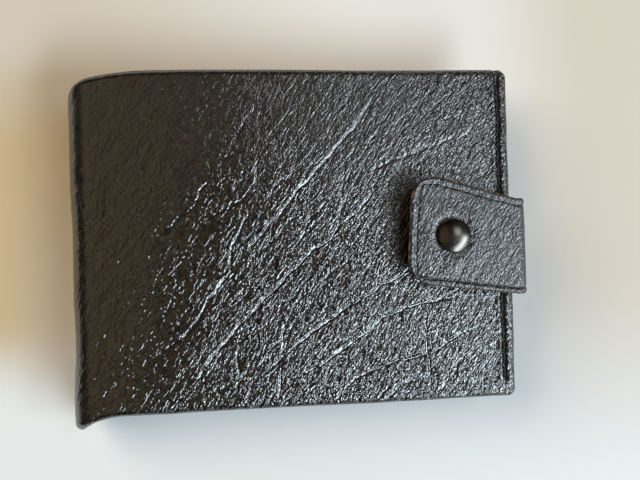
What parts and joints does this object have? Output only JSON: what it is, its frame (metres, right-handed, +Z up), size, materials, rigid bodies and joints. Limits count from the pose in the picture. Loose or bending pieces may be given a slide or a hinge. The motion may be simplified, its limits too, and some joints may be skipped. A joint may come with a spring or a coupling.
{
  "type": "trifold wallet",
  "caption": "Black leather wallet lying closed: back, centre and front leaves, a rolled spine, card pockets, a window leaf and a snap tab at the free edge.",
  "frame": {"origin": "middle of the back cover's outer face, which lies on the table", "axes": "+X from the rolled spine to the free edge with the tab, +Y up the cover to the open side of the note pocket, +Z up through the closed leaves"},
  "size_m": [0.1238, 0.096, 0.0235],
  "materials": {
    "outer_leather": "black pebbled leather, worn and creased, satin",
    "inner_leather": "smooth dark lining leather, satin",
    "cloth": "plain woven lining cloth, matte",
    "board": "grey-brown stiffening board, inside",
    "thread": "black waxed thread",
    "snap_metal": "polished gunmetal plating",
    "window_film": "clear soft film"
  },
  "bodies": {
    "back": {"outer_back": "outer_leather", "fold_lower": "outer_leather", "board_back": "board", "lining_back": "cloth", "lining_fold_lower": "cloth", "base_back": "inner_leather", "pocket_back_1": "inner_leather", "pocket_back_2": "inner_leather", "pocket_back_3": "inner_leather", "stitches_back": "thread", "tab_tail": "outer_leather", "leaf_tape": "cloth"},
    "spine": {"outer_spine": "outer_leather", "lining_spine": "cloth"},
    "front": {"outer_front": "outer_leather", "fold_upper": "outer_leather", "board_front": "board", "lining_front": "cloth", "lining_fold_upper": "cloth", "base_front": "inner_leather", "pocket_front_1": "inner_leather", "pocket_front_2": "inner_leather", "pocket_front_3": "inner_leather", "stitches_front": "thread", "snap_stud": "snap_metal", "snap_rivet": "snap_metal"},
    "leaf": {"leaf_shell": "inner_leather", "leaf_window": "window_film", "leaf_frame": "inner_leather"},
    "tab_riser": {"riser_leather": "outer_leather", "riser_lining": "inner_leather", "tab_fold_lower": "outer_leather", "tab_lining_fold_lower": "inner_leather"},
    "tab_flap": {"flap_leather": "outer_leather", "flap_lining": "inner_leather", "tab_fold_upper": "outer_leather", "tab_lining_fold_upper": "inner_leather", "snap_cap": "snap_metal", "snap_socket": "snap_metal"}
  },
  "joints": [
    {"name": "spine_fold", "type": "hinge", "parent": "back", "child": "spine", "pos_m": [-0.0545, 0, 0.006], "axis": [0, -1, 0], "range_deg": [0, 89.4], "deforming": ["fold_lower", "lining_fold_lower"]},
    {"name": "cover_fold", "type": "hinge", "parent": "spine", "child": "front", "pos_m": [-0.0545, 0, 0.0108], "axis": [0, -1, 0], "range_deg": [0, 89.4], "deforming": ["fold_upper", "lining_fold_upper"]},
    {"name": "leaf_fold", "type": "hinge", "parent": "back", "child": "leaf", "pos_m": [-0.0525, 0, 0.0084], "axis": [0, -1, 0], "range_deg": [0, 178.8], "deforming": ["leaf_tape"]},
    {"name": "tab_base_fold", "type": "hinge", "parent": "back", "child": "tab_riser", "pos_m": [0.0609, 0, 0.0044], "axis": [0, 1, 0], "range_deg": [0, 90], "deforming": ["tab_fold_lower", "tab_lining_fold_lower"]},
    {"name": "tab_top_fold", "type": "hinge", "parent": "tab_riser", "child": "tab_flap", "pos_m": [0.0598, 0, 0.0181], "axis": [0, 1, 0], "range_deg": [0, 90], "deforming": ["tab_fold_upper", "tab_lining_fold_upper"]}
  ],
  "couplings": [
    {"joint": "cover_fold", "follows": "spine_fold", "ratio": 1},
    {"joint": "leaf_fold", "follows": "spine_fold", "ratio": 2}
  ]
}
